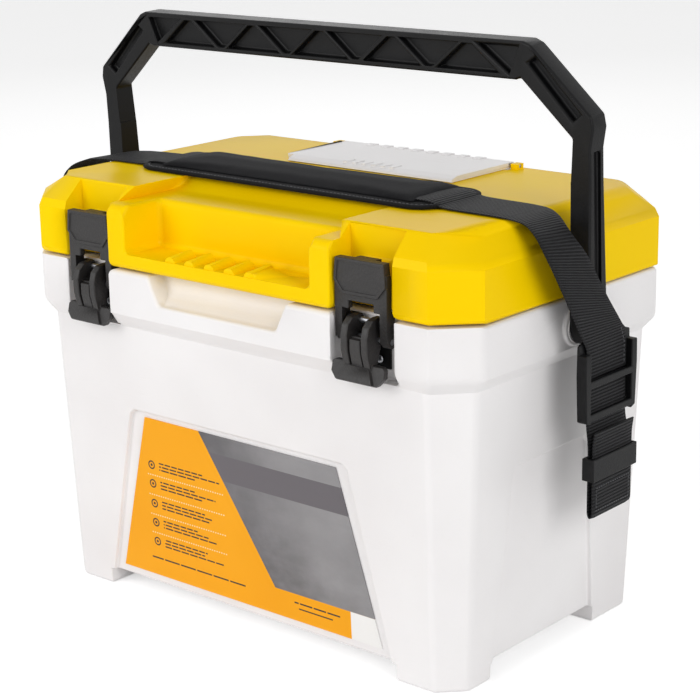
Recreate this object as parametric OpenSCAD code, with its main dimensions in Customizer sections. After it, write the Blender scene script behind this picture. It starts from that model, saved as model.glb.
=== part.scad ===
// Insulated bait cooler with a latched lid, a bail handle, a padded shoulder
// strap and a battery aerator in the lid. Millimetres, +Z up, front at -Y.

/* [Box] */
// width across the lid and the collar
box_w = 420; // [410:1:430]
// depth of the lid and the collar
box_d = 259; // [255:1:265]
// corner chamfer of the lid and the collar
corner = 26; // [22:1:30]
// height of the collar top above the floor
rim_z = 262; // [258:1:266]
// depth of the collar band
collar_h = 36; // [32:1:40]
// height of the feet under the box
foot_h = 13; // [8:1:16]
// inside width of the tank at the rim
tank_w = 340; // [320:2:346]
// inside depth of the tank at the rim
tank_d = 192; // [180:2:196]
// height of the tank floor above the ground
tank_floor = 44; // [40:1:60]

/* [Lid] */
// gap between the collar and the lid
lid_gap = 1.5; // [1.2:0.1:2]
// height of the flat lid top above the collar
lid_h = 58; // [56:1:60]
// depth of the plug under the lid
plug_h = 10; // [6:1:12]
// depth of the hand pocket in the lid front
pocket_d = 36; // [25:1:38]
// number of finger scallops on the pocket lip
scallops = 5; // [3:1:6]

/* [Handle] */
// outer width of the bail handle
bail_w = 459; // [455:1:465]
// height of the grip top above the pivot
bail_h = 191; // [185:1:200]
// height of the grip bar
grip_h = 26; // [22:1:30]
// front to back thickness of the bail
bail_t = 17; // [14:1:20]
// number of upright pockets in the grip
grip_pockets = 5; // [3:2:5]
// how far the pivot lies in front of the middle
pivot_y = 2; // [0:1:6]
// forward lean of the bail as it stands, in degrees
bail_lean = 2.5; // [0:0.5:3]

/* [Latches] */
// distance of each latch from the middle
latch_x = 129.5; // [126:0.5:131]
// width of a latch
latch_w = 44; // [40:1:45]

/* [Strap] */
// width of the shoulder webbing
web_w = 48; // [38:1:50]
// thickness of the webbing
web_t = 1.8; // [1.2:0.1:2.4]
// length of the shoulder pad
pad_l = 284; // [240:4:290]
// width of the shoulder pad
pad_w = 74; // [60:2:78]
// crown height of the shoulder pad
pad_h = 8; // [6:0.5:10]

/* [Aerator] */
// width of the compartment door
door_w = 164; // [156:2:166]
// bore of the air nozzle
nozzle_bore = 2.2; // [1.6:0.2:3]

/* [Hidden] */
$fn = 48;
origin_x = -2.85;
origin_y = 4.5;
w2 = box_w / 2;
d2 = box_d / 2;
lid_z = rim_z + lid_gap;
top_z = rim_z + lid_h;
side_z = top_z - 15;
bump_top = top_z - 10;
bump_y = d2 + 5;
collar_z = rim_z - collar_h;
band_z = collar_z - 10;
body_wt = w2 - 8.3;
body_dt = d2 - 6;
body_wb = w2 - 17.3;
body_db = d2 - 15.6;
wall = 7.5;
slot_floor = d2 - 12.5;
lid_slot_floor = d2 - 17.5;
slot_in = 106;
slot_out = 155.5;
piv_z = rim_z - 20;
arm_x = bail_w / 2;
arm_w = 15.5;
axis_y = 120;
axis_z = top_z - 6;
pin_r = 2;
run = 0.05;
lev_y = -d2 + 6.5;
lev_z = rim_z - 4;
link_y = -d2 + 5;
link_z = rim_z - 15;
hinge_n = 8;
hinge_l = 156;
grip_top = piv_z + bail_h;
grip_low = grip_top - grip_h;
strap_y = -27;
strap_f = strap_y - web_w / 2 + web_t / 2;
strap_r = strap_y + web_w / 2 - web_t / 2;
web_z = top_z + 0.4 + web_t / 2;
out_x = arm_x + 2.6;
web_x = out_x + 1.2;
// webbing cross-sections by their front and rear ends: over the lid edge, in
// front of the bail arm, across its outer face and down into the buckle
leg_pts = [[[198.2, strap_f, web_z], [198.2, strap_r, web_z]],
  [[209, -58, top_z - 0.5], [209, -19.6, top_z - 2]],
  [[221, -63, top_z - 6], [221, -25, top_z - 9]],
  [[229.5, -64, top_z - 17], [232, -21.2, top_z - 24]],
  [[out_x + 0.3, -49, top_z - 42], [web_x, -1, top_z - 52]],
  [[web_x, -26, 240], [web_x, 22, 240]],
  [[web_x, -20.9, 230.9], [web_x, 25.3, 230.9]]];
door_y0 = 28;
door_y1 = 106;
door_axis = [0, 103, top_z + 2.2];
nozzle = [-50, 52];
case_z = lid_z + 7.5;

// sets the origin under the middle of the whole object
module place() translate([origin_x, origin_y, 0]) children();
// outline in XZ, carried along Y
module along_y(pts, y0, y1) translate([0, y1, 0]) rotate([90, 0, 0]) linear_extrude(y1 - y0) polygon(pts);
// outline in YZ, carried along X
module along_x(pts, x0, x1) translate([x0, 0, 0]) rotate([90, 0, 90]) linear_extrude(x1 - x0) polygon(pts);
module box(x0, x1, y0, y1, z0, z1) translate([x0, y0, z0]) cube([x1 - x0, y1 - y0, z1 - z0]);
function octagon(w, d, c) = [[-w, -d + c], [-w + c, -d], [w - c, -d], [w, -d + c],
  [w, d - c], [w - c, d], [-w + c, d], [-w, d - c]];
module octa(w, d, c, z0, z1) translate([0, 0, z0]) linear_extrude(z1 - z0) polygon(octagon(w, d, c));
// eight-sided block whose walls lean evenly from the bottom to the top
module lean(wb, db, cb, wt, dt, ct, z0, z1) {
  sb = (wb + db - cb) / sqrt(2);
  st = (wt + dt - ct) / sqrt(2);
  intersection() {
    along_y([[-wb, z0], [wb, z0], [wt, z1], [-wt, z1]], -300, 300);
    along_x([[-db, z0], [db, z0], [dt, z1], [-dt, z1]], -300, 300);
    rotate([0, 0, 45]) along_y([[-sb, z0], [sb, z0], [st, z1], [-st, z1]], -400, 400);
    rotate([0, 0, -45]) along_y([[-sb, z0], [sb, z0], [st, z1], [-st, z1]], -400, 400);
  }
}
// screw with a domed pan head; its shank points down -Z from the origin
module screw(r, l, head_r, head_h) {
  translate([0, 0, -l]) cylinder(r = r, h = l + 0.1);
  intersection() {
    cylinder(r = head_r, h = head_h);
    translate([0, 0, head_h - head_r * 1.4]) sphere(r = head_r * 1.4);
  }
}
function face_y(z, off) = -(body_db + (body_dt - body_db) * z / band_z) + off;
function face_x(z, off) = body_wb + (body_wt - body_wb) * z / band_z - off;
// slab between two depths behind the leaning front face
module face_slab(o1, o2, z0, z1, x0, x1)
  along_x([[face_y(z0, o1), z0], [face_y(z0, o2), z0], [face_y(z1, o2), z1], [face_y(z1, o1), z1]], x0, x1);

// ---- body ----
module panel_cut(depth) intersection() {
  along_y([[-142, -1], [142, -1], [106, 148], [101, 152], [-101, 152], [-106, 148]], -200, 200);
  face_slab(-20, depth, -1, 160, -200, 200);
}
module end_cut(depth) intersection() {
  along_x([[-73, -1], [53, -1], [36, 148], [31, 152], [-51, 152], [-56, 148]], 0, 300);
  along_y([[face_x(-1, depth), -1], [300, -1], [300, 160], [face_x(160, depth), 160]], -200, 200);
}
module slots(z0, z1, y_floor) for (s = [-1, 1])
  box(s > 0 ? slot_in : -slot_out, s > 0 ? slot_out : -slot_in, -200, -y_floor, z0, z1);
module body_outer() difference() {
  union() {
    lean(body_wb, body_db, 18, body_wt, body_dt, 24, 0, band_z);
    octa(body_wt - 2, body_dt - 2, 24, band_z - 2, band_z + 2);
    lean(body_wt, body_dt, 24, w2, d2, corner, band_z, collar_z);
    octa(w2, d2, corner, collar_z, rim_z);
    along_x([[-bump_y, collar_z + 3], [-bump_y + 3, collar_z], [-d2 + 2, collar_z - 6], [-100, collar_z - 6],
      [-100, rim_z], [-bump_y, rim_z]], -slot_in, slot_in);
    for (s = [-1, 1]) translate([s * (w2 - 1), -pivot_y, piv_z]) rotate([0, s * 90, 0]) cylinder(r = 14, h = 4, $fn = 64);
  }
  slots(band_z + 2, rim_z + 1, slot_floor);
  // finger scoop under the lid front
  intersection() {
    along_y([[-56, rim_z - 21], [56, rim_z - 21], [67, rim_z + 1], [-67, rim_z + 1]], -200, -100);
    along_x([[-150, rim_z - 22], [-bump_y + 4, rim_z - 22], [-d2 + 9, rim_z - 14], [-d2 + 13, rim_z + 1], [-150, rim_z + 1]], -80, 80);
  }
  panel_cut(4);
  mirror([0, 1, 0]) panel_cut(4);
  for (s = [0, 1]) mirror([s, 0, 0]) end_cut(4);
  box(-142, 142, -200, 200, -1, foot_h);
  box(-300, 300, -73, 53, -1, foot_h);
}
module body_hollow(g) {
  w = wall + g;
  lean(body_wb - w + 0.7, body_db - w + 0.6, 18, body_wt - w, body_dt - w, 24, foot_h + 4 + g, band_z);
  intersection() {
    octa(w2 - w, d2 - w, corner, band_z - 1, rim_z + 1);
    union() {
      lean(body_wt - w, body_dt - w, 24, w2 - w, d2 - w, corner, band_z - 1, collar_z);
      octa(w2 - w, d2 - w, corner, collar_z - 0.1, rim_z + 1);
    }
  }
}
module front_wall(g) box(-250, 250, -200, -slot_floor + 4 + g, band_z - 4 - g, rim_z + 2);
module tank(g, z0) lean(tank_w / 2 - 8 + g, tank_d / 2 - 10 + g, 24, tank_w / 2 + g, tank_d / 2 + g, 24, z0, rim_z + 1);
module body_shell() color("#efeded") place() difference() {
  body_outer();
  difference() { body_hollow(0); front_wall(0); }
  for (s = [-1, 1]) {
    translate([s * 195, -pivot_y, piv_z]) rotate([0, s * 90, 0]) cylinder(r = 6 + run, h = 25);
    for (x = s > 0 ? [latch_x - 6, latch_x + 6] : [-latch_x - 6, -latch_x + 6])
      translate([x, -slot_floor + 4.5, 232]) rotate([90, 0, 0]) cylinder(r = 1.5 + run, h = 10);
  }
  for (x = [-66, -22, 22, 66]) translate([x, 125.9, rim_z - 14]) cylinder(r = 2 + run, h = 20);
}
module tank_liner() color("#f4f3f1") place() difference() {
  union() {
    lean(tank_w / 2 - 8 + 2.5, tank_d / 2 - 10 + 2.5, 24, tank_w / 2 + 2.5, tank_d / 2 + 2.5, 24, tank_floor - 2.5, rim_z);
    intersection() {
      octa(w2 - wall - 0.2, d2 - wall - 0.2, corner, rim_z - 3.2, rim_z);
      box(-250, 250, -slot_floor + 4.2, 200, 0, 300);
    }
  }
  tank(0, tank_floor);
}
module body_foam() color("#e9dfb6") place() difference() {
  intersection() { body_hollow(0.3); box(-250, 250, -250, 250, 0, rim_z - 3.5); }
  front_wall(0.3);
  lean(tank_w / 2 - 8 + 2.8, tank_d / 2 - 10 + 2.8, 24, tank_w / 2 + 2.8, tank_d / 2 + 2.8, 24, tank_floor - 2.8, rim_z + 1);
  for (s = [-1, 1]) translate([s * 190, -pivot_y, piv_z]) rotate([0, s * 90, 0]) cylinder(r = 10.5, h = 25);
  for (s = [-1, 1]) for (x = [-6, 6]) translate([s * latch_x + x, -96, 232]) rotate([90, 0, 0]) cylinder(r = 2.4, h = 20);
}
module front_label() color("#fdb01a") place() intersection() {
  along_y([[-128.5, 20], [128.5, 20], [93.5, 147], [-93.5, 147]], -200, 0);
  face_slab(3, 3.9, 10, 155, -200, 200);
}

// ---- lid ----
module lid_outer() difference() {
  union() {
    octa(w2, d2, corner, lid_z, side_z - 5.9);
    lean(w2, d2, corner, w2 - 2.5, d2 - 2, corner - 0.5, side_z - 6, side_z);
    lean(w2 - 2.5, d2 - 2, corner - 0.5, w2 - 17, d2 - 18.5, 20, side_z, top_z);
    octa(w2 - 4, d2 - 4, corner, side_z - 8, side_z + 1);
    along_x([[-bump_y, lid_z], [-bump_y, bump_top - 5], [-bump_y + 4, bump_top], [-80, bump_top], [-80, lid_z]], -slot_in, slot_in);
  }
  // lowered shelf behind the pocket
  intersection() {
    along_x([[-120, bump_top], [-64, bump_top], [-51, top_z + 1], [-140, top_z + 1], [-140, bump_top]], -120, 120);
    along_y([[-slot_in, bump_top - 1], [slot_in, bump_top - 1], [slot_in - 8, top_z + 1], [-slot_in + 8, top_z + 1]], -200, 0);
  }
  // hand pocket, open to the front and the top
  box(-88, 88, -200, -bump_y + pocket_d, rim_z + 13, top_z);
  slots(0, 400, lid_slot_floor);
  // notch at the rear for the hinge, and the seat of the door
  box(-84, 84, 108, 200, 0, 400);
  box(-84, 84, 96, 120, top_z - 3.6, 400);
}
module compartment(g) box(-77 - g, 77 + g, 30 - g, 102 + g, lid_z + 3.3 - g, top_z - 4);
module lid_hollow(g) intersection() {
  octa(w2 - 4 - g, d2 - 4 - g, corner - 2, lid_z - 1, side_z - 3);
  box(-250, 250, -93 + g, 103.5 - g, 0, side_z - 3 - g);
}
module lid_hollow_top(g) intersection() {
  lean(w2 - 6 - g, d2 - 6 - g, corner, w2 - 22 - g, d2 - 24 - g, 20, side_z - 4, top_z - 4 - g);
  box(-250, 250, -44 + g, 92 - g, side_z - 3.5 - g, top_z - 4 - g);
}
// finger ridge on the pocket's lip, rising a little to the rear
module ridge(x) translate([x, -bump_y + 0.8, rim_z + 12]) rotate([-85.4, 0, 0]) cylinder(r = 5, h = 21, $fn = 48);
module ridge_end(x) intersection() {
  along_y([[x, rim_z + 12], [x, rim_z + 16.6], [x + 4, rim_z + 16.2], [x + 20, rim_z + 13.4], [x + 20, rim_z + 12]], -200, 0);
  linear_extrude(height = 400) polygon([[x, -bump_y + 0.8], [x + 7, -bump_y + 0.8], [x + 20, -bump_y + 21], [x, -bump_y + 21]]);
}
module lid_shell() color("#ffd400") place() difference() {
  union() {
    difference() {
      lid_outer();
      difference() {
        union() { lid_hollow(0); lid_hollow_top(0); }
        compartment(0);
      }
    }
    // ledges that the latch hooks pull on
    for (s = [-1, 1]) box(s * latch_x - 9, s * latch_x + 9, -lid_slot_floor - 9.5, -lid_slot_floor + 1, rim_z + 26, rim_z + 34);
    for (i = [0:scallops - 1]) ridge(-42.5 + i * 19);
    ridge_end(-42.5 + (scallops - 1) * 19);
    // door lugs beside the seat
    for (s = [-1, 1]) box(s * 87 - 3, s * 87 + 3, 99, 107, top_z - 2, top_z + 4);
  }
  box(-74, 74, 33, 99, lid_z + 7.5, 400);
  gasket_groove(lid_z + 2.1);
  translate([nozzle[0], nozzle[1], 0]) cylinder(r = 3.3, h = 300);
  for (s = [-1, 1]) translate([s * 80, door_axis[1], door_axis[2]]) rotate([0, s * 90, 0]) cylinder(r = 1.5 + run, h = 12);
  for (x = [-60, -20, 20, 60]) translate([x, 100, rim_z + 31]) rotate([-90, 0, 0]) cylinder(r = 2 + run, h = 20);
}
module gasket_groove(z) difference() {
  octa(tank_w / 2 + 8.9, tank_d / 2 + 9.9, 24, 0, z);
  octa(tank_w / 2 + 3.1, tank_d / 2 + 4.1, 24, -1, z + 0.1);
}
module lid_panel() color("#f4f3f1") place() difference() {
  union() {
    intersection() { lid_hollow(0.3); box(-250, 250, -250, 250, lid_z, lid_z + 3); }
    octa(tank_w / 2 - 6, tank_d / 2 - 6, 20, rim_z - plug_h, lid_z + 3);
  }
  octa(tank_w / 2 - 9, tank_d / 2 - 9, 18, rim_z - plug_h + 3, lid_z + 20);
  gasket_groove(lid_z + 2.1);
  translate([nozzle[0], nozzle[1], 0]) cylinder(r = 3.3, h = 300);
}
module lid_foam() color("#e9dfb6") place() difference() {
  union() {
    intersection() { lid_hollow(0.3); box(-250, 250, -250, 250, lid_z + 3.3, 400); }
    lid_hollow_top(0.3);
    octa(tank_w / 2 - 9.3, tank_d / 2 - 9.3, 18, rim_z - plug_h + 3.3, lid_z + 4);
  }
  compartment(0.3);
  translate([nozzle[0], nozzle[1], 0]) cylinder(r = 3.6, h = 300);
  for (x = [-60, -20, 20, 60]) translate([x, 95, rim_z + 31]) rotate([-90, 0, 0]) cylinder(r = 3, h = 20);
}
module lid_gasket() color("#4a4a4c") place() difference() {
  octa(tank_w / 2 + 8.6, tank_d / 2 + 9.6, 24, rim_z + 0.3, lid_z + 1.8);
  octa(tank_w / 2 + 3.4, tank_d / 2 + 4.4, 24, 0, 400);
}

// ---- lid hinge ----
module knuckles(from, r) for (i = [from:2:hinge_n - 1])
  translate([-hinge_l / 2 + i * hinge_l / hinge_n + 0.25, axis_y, axis_z]) rotate([0, 90, 0]) cylinder(r = r, h = hinge_l / hinge_n - 0.5);
module hinge_post() color("#efeded") place() difference() {
  union() {
    box(-80, 80, 111, 129.3, rim_z, rim_z + 4);
    box(-80, 80, 117.5, 122.5, rim_z + 3, axis_z - 6.5);
    for (i = [0:2:hinge_n - 1]) box(-hinge_l / 2 + i * hinge_l / hinge_n + 0.25, -hinge_l / 2 + (i + 1) * hinge_l / hinge_n - 0.25, 117.5, 122.5, axis_z - 7, axis_z);
    for (x = [-78, -26, 26, 74]) box(x, x + 4, 111.5, 118, rim_z + 3, rim_z + 16);
    knuckles(0, 4.5);
  }
  translate([-100, axis_y, axis_z]) rotate([0, 90, 0]) cylinder(r = pin_r + run, h = 200);
  for (x = [-66, -22, 22, 66]) translate([x, 125.9, 0]) cylinder(r = 2 + run, h = 400);
}
module hinge_leaf() color("#efeded") place() difference() {
  union() {
    box(-78, 78, 108.2, 111.2, rim_z + 22, axis_z + 3);
    for (i = [1:2:hinge_n - 1]) box(-hinge_l / 2 + i * hinge_l / hinge_n + 0.25, -hinge_l / 2 + (i + 1) * hinge_l / hinge_n - 0.25, 110, 120, axis_z - 1, axis_z + 4);
    knuckles(1, 4.5);
  }
  translate([-100, axis_y, axis_z]) rotate([0, 90, 0]) cylinder(r = pin_r + run, h = 200);
  for (x = [-60, -20, 20, 60]) translate([x, 100, rim_z + 31]) rotate([-90, 0, 0]) cylinder(r = 2 + run, h = 20);
}
module hinge_pin() color("#b9bcc0") place() translate([-79, axis_y, axis_z]) rotate([0, 90, 0]) cylinder(r = pin_r, h = 158);
module post_screws() color("#b9bcc0") place() for (x = [-66, -22, 22, 66]) translate([x, 125.9, rim_z + 4.05]) screw(2, 15, 3.2, 2.2);
module leaf_screws() color("#b9bcc0") place() for (x = [-60, -20, 20, 60]) translate([x, 111.25, rim_z + 31]) rotate([-90, 0, 0]) screw(2, 8, 3.6, 2.2);

// ---- latches ----
module at_latch(s) translate([s * latch_x, 0, 0]) children();
module latch_bracket() difference() {
  union() {
    box(-15.2, 15.2, -slot_floor - 1.6, -slot_floor - 0.05, 226, rim_z - 1);
    for (s = [-1, 1]) {
      translate([s * 13.7 - 1.5, lev_y, lev_z]) rotate([0, 90, 0]) cylinder(r = 4.6, h = 3);
      box(s * 13.7 - 1.5, s * 13.7 + 1.5, lev_y, -slot_floor - 1, lev_z - 4.6, lev_z + 3);
    }
  }
  translate([-30, lev_y, lev_z]) rotate([0, 90, 0]) cylinder(r = pin_r + run, h = 60);
  for (x = [-6, 6]) translate([x, -100, 232]) rotate([90, 0, 0]) cylinder(r = 1.5 + run, h = 30);
  box(-11.9, 11.9, -125, -110, lev_z - 7, rim_z + 1);
}
module latch_brackets() color("#1c1c1e") place() for (s = [-1, 1]) at_latch(s) latch_bracket();
module bracket_screws() color("#b9bcc0") place() for (s = [-1, 1]) for (x = [-6, 6])
  translate([s * latch_x + x, -slot_floor - 1.65, 232]) rotate([90, 0, 0]) screw(1.5, 6, 2.8, 1.2);
module latch_pivot_pins() color("#b9bcc0") place() for (s = [-1, 1]) at_latch(s)
  translate([-15.6, lev_y, lev_z]) rotate([0, 90, 0]) cylinder(r = pin_r, h = 31.2);
module latch_lever() difference() {
  union() {
    for (s = [-1, 1])
      along_x([[-138.5, 250], [-138, 240], [-135, 228], [-128.5, 228], [-124.5, 240], [-120.8, 250], [-119.2, 256], [-119.2, 260], [-121, 262.1], [-126, 262.2], [-132, 261.2], [-136.5, 257]], s * 8.65 - 2.75, s * 8.65 + 2.75);
    // web between the two ribs, and a broad low rib on it
    along_x([[-133.5, 249], [-134, 240], [-133, 229], [-129, 229], [-129.5, 240], [-129.5, 249]], -6.2, 6.2);
    along_x([[-137.5, 248], [-137.2, 240], [-134.6, 229], [-130, 229], [-130, 248]], -4.6, 4.6);
    // thumb pad with a raised field
    intersection() {
      along_y([[-latch_w / 2 + 1.8, 231.5], [latch_w / 2 - 1.8, 231.5], [latch_w / 2 + 0.4, 229.5], [latch_w / 2 + 0.4, 224], [latch_w / 2 - 5, 218],
        [-latch_w / 2 + 5, 218], [-latch_w / 2 - 0.4, 224], [-latch_w / 2 - 0.4, 229.5]], -200, 0);
      along_x([[-133.4, 232], [-136.6, 219], [-135.4, 217], [-131, 217], [-129.3, 232]], -30, 30);
    }
    intersection() {
      along_y([[-10, 229.8], [10, 229.8], [14.6, 219.2], [-14.6, 219.2]], -200, 0);
      along_x([[-135.6, 231], [-138.4, 219.6], [-136, 218], [-130.5, 231]], -30, 30);
    }
  }
  translate([-30, lev_y, lev_z]) rotate([0, 90, 0]) cylinder(r = pin_r + run, h = 60);
  translate([-30, link_y, link_z]) rotate([0, 90, 0]) cylinder(r = pin_r + run, h = 60);
}
// six-sided plate of the link, drawn smaller by g
module link_plate(g, y0, y1) along_y([[-latch_w / 2 + 7 + g / 2, rim_z + 14 + g], [latch_w / 2 - 7 - g / 2, rim_z + 14 + g],
  [latch_w / 2 - g, rim_z + 22.5 + g / 3], [latch_w / 2 - 1.5 - g, rim_z + 38 - g], [-latch_w / 2 + 1.5 + g, rim_z + 38 - g],
  [-latch_w / 2 + g, rim_z + 22.5 + g / 3]], y0, y1);
module latch_link() difference() {
  union() {
    difference() {
      link_plate(0, -132, -125.5);
      link_plate(2.3, -140, -131.2);
    }
    // hook over the ledge
    box(-9, 9, -126, -118.5, rim_z + 35, rim_z + 37.9);
    box(-11, 11, -130.5, -125.6, rim_z + 9.5, rim_z + 16);
    for (s = [-1, 1]) {
      box(s > 0 ? 10.5 : -latch_w / 2, s > 0 ? latch_w / 2 : -10.5, -130.5, -125.6, rim_z + 4, rim_z + 30);
      box(s > 0 ? 16 : -latch_w / 2, s > 0 ? latch_w / 2 : -16, -130.5, -122, link_z - 1, rim_z + 5);
      translate([s > 0 ? 16 : -latch_w / 2, link_y - 0.5, link_z]) rotate([0, 90, 0]) cylinder(r = 4.2, h = latch_w / 2 - 16);
    }
  }
  translate([-30, link_y, link_z]) rotate([0, 90, 0]) cylinder(r = pin_r + run, h = 60);
}
module link_pin() translate([-latch_w / 2 + 0.3, link_y, link_z]) rotate([0, 90, 0]) cylinder(r = pin_r, h = latch_w - 0.6);
module latch_lever_left() color("#1c1c1e") place() at_latch(-1) latch_lever();
module latch_lever_right() color("#1c1c1e") place() at_latch(1) latch_lever();
module latch_link_left() color("#1c1c1e") place() at_latch(-1) latch_link();
module latch_link_right() color("#1c1c1e") place() at_latch(1) latch_link();
module latch_link_pin_left() color("#b9bcc0") place() at_latch(-1) link_pin();
module latch_link_pin_right() color("#b9bcc0") place() at_latch(1) link_pin();

// ---- bail handle ----
function bail_half() = [[0, grip_top], [177, grip_top], [183, grip_top - 2], [arm_x + 1, grip_top - 46], [arm_x + 2.5, grip_top - 54], [arm_x, grip_top - 68],
  [arm_x, piv_z], [arm_x - arm_w, piv_z], [arm_x - arm_w, grip_top - 100], [arm_x - arm_w + 2, grip_top - 62], [175, grip_low + 1.5], [171, grip_low], [0, grip_low]];
module pocket_pair(pts) for (s = [0, 1]) translate([0, -pivot_y, 0]) mirror([0, s, 0]) along_y(pts, bail_t / 2 - 5.5, bail_t / 2 + 1);
module handle() color("#1a1a1c") place() translate([0, -pivot_y, piv_z]) rotate([bail_lean, 0, 0]) translate([0, pivot_y, -piv_z]) bail();
module bail() difference() {
  union() {
    translate([0, -pivot_y, 0]) for (s = [0, 1]) mirror([s, 0, 0]) along_y(bail_half(), -bail_t / 2, bail_t / 2);
    for (s = [-1, 1]) {
      translate([s > 0 ? arm_x - arm_w : -arm_x, -pivot_y, piv_z]) rotate([0, 90, 0]) cylinder(r = 12, h = arm_w, $fn = 64);
      translate([0, -pivot_y, 0]) along_x([[-11.5, piv_z], [11.5, piv_z], [bail_t / 2, grip_top - 90], [-bail_t / 2, grip_top - 90]], s > 0 ? arm_x - arm_w : -arm_x, s > 0 ? arm_x : -arm_x + arm_w);
    }
  }
  // pockets that leave a row of slanted ribs in the grip
  for (i = [0:grip_pockets - 1]) {
    x = (i - (grip_pockets - 1) / 2) * 65.5;
    pocket_pair([[x - 26, grip_low + 3.5], [x + 26, grip_low + 3.5], [x + 3, grip_top - 4], [x - 3, grip_top - 4]]);
  }
  for (i = [0:grip_pockets - 2]) {
    x = (i - (grip_pockets - 2) / 2) * 65.5;
    pocket_pair([[x - 26, grip_top - 3.5], [x + 26, grip_top - 3.5], [x + 3, grip_low + 4], [x - 3, grip_low + 4]]);
  }
  for (s = [-1, 1]) {
    pocket_pair([[s * 166, grip_low + 3.5], [s * 174, grip_top - 3.5], [s * 140, grip_top - 3.5], [s * 164, grip_low + 5]]);
    // channels along the shoulders and down the outer faces
    pocket_pair([[s * 181, grip_top - 14], [s * 187, grip_top - 10], [s * 222, grip_top - 45], [s * 216, grip_top - 50]]);
    translate([0, -pivot_y, 0]) box(s > 0 ? arm_x - 3 : -arm_x - 5, s > 0 ? arm_x + 5 : -arm_x + 3, -4, 4, piv_z + 24, grip_top - 70);
    translate([s * (arm_x - 30), -pivot_y, piv_z]) rotate([0, s * 90, 0]) cylinder(r = 6 + run, h = 60);
    translate([s * (arm_x - 3.6), -pivot_y, piv_z]) rotate([0, s * 90, 0]) cylinder(r = 8.5, h = 20);
  }
}
// bolts with a shoulder for the arm and a countersunk end for the strap plate
module handle_bolts() color("#8d9094") place() for (s = [-1, 1]) translate([0, -pivot_y, piv_z]) rotate([0, s * 90, 0]) {
  translate([0, 0, 197]) cylinder(r = 6, h = arm_x - 3.5 - 197);
  translate([0, 0, arm_x - 3.5]) cylinder(r = 8.2, h = 3);
  translate([0, 0, arm_x - 1]) cylinder(r = 4, h = out_x - arm_x - 0.15);
  translate([0, 0, out_x - 1.2]) cylinder(r1 = 4, r2 = 5, h = 1);
  translate([0, 0, 199]) cylinder(r = 9.5, h = 3.3);
}
module handle_washers() color("#efeded") place() for (s = [-1, 1]) translate([0, -pivot_y, piv_z]) rotate([0, s * 90, 0]) difference() {
  translate([0, 0, w2 + 3.1]) cylinder(r = 12, h = arm_x - arm_w - w2 - 3.2);
  cylinder(r = 6 + run, h = 300);
}

// ---- shoulder strap ----
module strap_pad() color("#161618") place() difference() {
  intersection() {
    union() {
      translate([-9, 0, 0]) box(-pad_l / 2 + 20, pad_l / 2 - 20, strap_y - pad_w / 2, strap_y + pad_w / 2, top_z + 0.4, top_z + 20);
      for (s = [-1, 1]) {
        translate([-9, 0, 0]) box(s * (pad_l / 2 - 11) - 11, s * (pad_l / 2 - 11) + 11, strap_y - pad_w / 2 + 20, strap_y + pad_w / 2 - 20, top_z + 0.4, top_z + 20);
        for (t = [-1, 1]) translate([-9 + s * (pad_l / 2 - 20), strap_y + t * (pad_w / 2 - 20), top_z + 0.4]) cylinder(r = 20, h = 20);
      }
    }
    // crowned top that thins towards the long edges
    translate([-200, strap_y, top_z + 0.4 + pad_h - 150]) rotate([0, 90, 0]) cylinder(r = 150, h = 400, $fn = 180);
  }
  box(-200, 200, strap_y - web_w / 2 - 0.4, strap_y + web_w / 2 + 0.4, top_z, top_z + 0.4 + web_t + 0.8);
}
module strap_webbing() color("#1d1d1f") place() box(-197, 197, strap_y - web_w / 2, strap_y + web_w / 2, top_z + 0.4, top_z + 0.4 + web_t);
// webbing that runs through cross-sections given by their front and rear ends
module dot(p) translate(p) cube(web_t, center = true);
module ribbon(ps) for (i = [0:len(ps) - 2]) hull() { dot(ps[i][0]); dot(ps[i][1]); dot(ps[i + 1][0]); dot(ps[i + 1][1]); }
// the same with one front and rear edge all along, from points in XZ
module belt(pts, y0, y1) ribbon([for (p = pts) [[p[0], y0 + web_t / 2, p[1]], [p[0], y1 - web_t / 2, p[1]]]]);
module strap_leg_right() color("#1d1d1f") place() {
  ribbon(leg_pts);
  ribbon([leg_pts[6], [[web_x, -20.9, 212], [web_x, 25.3, 212]]]);
}
module strap_leg_left() color("#1d1d1f") place() mirror([1, 0, 0]) {
  ribbon(leg_pts);
  ribbon([leg_pts[6], [[web_x, -21.1, 205], [web_x, 25.1, 205]]]);
  belt([[web_x, 206], [web_x, 190.6], [out_x - 1, 188.9], [out_x - 3.2, 190.6], [out_x - 3.2, 203], [web_x - 0.8, 210]], -22, 26);
}
// side rails with a plate between them that hangs on the handle bolt
module hanger(low, plate_low, rail) {
  for (t = [-1, 1]) along_x([[t * 24.8 + 2.5, 238], [t * 31 + 2.5, 236], [t * 31.5 + 2.5, 214], [t * 30 + 2.5, low + 2], [t * 24.8 + 2.5, low]], out_x - 2.1, out_x + rail);
  along_x([[-24, plate_low], [29, plate_low], [29, 237], [-pivot_y + 11, piv_z + 12], [-pivot_y - 11, piv_z + 12], [-24, 237]], out_x - 2.1, out_x - 0.2);
}
module hanger_cuts() {
  box(out_x - 0.2, out_x + 7, -40, 45, 230, 240);
  translate([0, -pivot_y, piv_z]) rotate([0, 90, 0]) {
    cylinder(r = 4 + run, h = 300);
    translate([0, 0, out_x - 1.2 - run]) cylinder(r1 = 4 + run, r2 = 5 + run, h = 1.01);
    translate([0, 0, out_x - 0.25]) cylinder(r = 5 + run, h = 2);
  }
}
module strap_buckle() color("#141416") place() difference() {
  union() {
    hanger(181, 190, 6);
    box(out_x + 2.5, out_x + 6, -24, 29, 206, 211);
    box(out_x + 2.5, out_x + 6, -24, 29, 183, 188);
  }
  hanger_cuts();
}
// the left one ends in a bar that the webbing is sewn round
module strap_hanger_left() color("#141416") place() mirror([1, 0, 0]) difference() {
  union() {
    hanger(188, 216, 2.1);
    box(out_x - 2, out_x, -24, 29, 192, 197);
  }
  hanger_cuts();
}
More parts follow.
